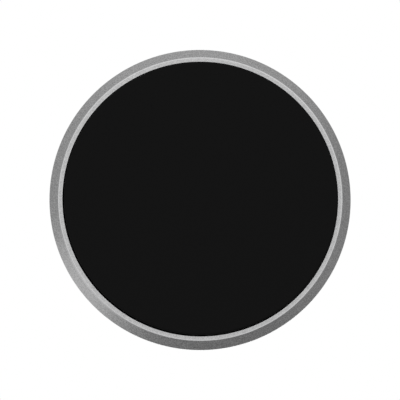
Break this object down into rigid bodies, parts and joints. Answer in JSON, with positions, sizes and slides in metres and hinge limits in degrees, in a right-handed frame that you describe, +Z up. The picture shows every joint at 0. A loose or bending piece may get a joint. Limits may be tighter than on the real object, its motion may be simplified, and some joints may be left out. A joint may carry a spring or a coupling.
{
  "type": "security tag detacher",
  "caption": "Round magnetic detacher for hard security tags: turned metal puck on a non-slip pad, conical cup with a lift-out adapter in its top.",
  "frame": {"origin": "centre of the pad's underside, on the counter", "axes": "+Z up the turning axis towards the cup; -Y towards the adapter's index key"},
  "size_m": [0.07, 0.07, 0.04],
  "materials": {
    "housing_aluminium": "fine blasted, clear anodised",
    "pad_rubber": "matt, fine grain",
    "adhesive_film": "black acrylic tape",
    "plate_steel": "black zinc plated",
    "screw_steel": "stainless",
    "cushion_rubber": "soft solid sheet",
    "yoke_steel": "ground",
    "magnet_nickel": "nickel plated",
    "pole_iron": "turned, nickel plated",
    "sleeve_brass": "turned",
    "band_steel": "rolled",
    "natural_plastic": "moulded, uncoloured",
    "seal_rubber": "moulded",
    "liner_plastic": "fine moulded grain",
    "adapter_plastic": "fine moulded grain"
  },
  "bodies": {
    "detacher": {"anti_slip_pad": "pad_rubber", "adhesive_disc": "adhesive_film", "base_plate": "plate_steel", "base_screws": "screw_steel", "cushion_disc": "cushion_rubber", "back_iron": "yoke_steel", "base_magnet": "magnet_nickel", "core_magnet": "magnet_nickel", "pole_cap": "pole_iron", "core_sleeve": "sleeve_brass", "magnet_band": "band_steel", "centring_ring": "natural_plastic", "top_gasket": "seal_rubber", "housing": "housing_aluminium", "cup_liner": "liner_plastic", "liner_seal_ring": "seal_rubber", "liner_screws": "screw_steel", "ring_magnet_1": "magnet_nickel", "ring_magnet_2": "magnet_nickel", "ring_magnet_3": "magnet_nickel", "ring_magnet_4": "magnet_nickel", "ring_magnet_5": "magnet_nickel", "ring_magnet_6": "magnet_nickel", "ring_magnet_7": "magnet_nickel", "ring_magnet_8": "magnet_nickel"},
    "adapter": {"adapter_insert": "adapter_plastic", "adapter_grip_ring": "seal_rubber"}
  },
  "joints": [
    {"name": "adapter_lift", "type": "slide", "parent": "detacher", "child": "adapter", "axis": [0, 0, 1], "range_m": [0, 0.03]}
  ]
}
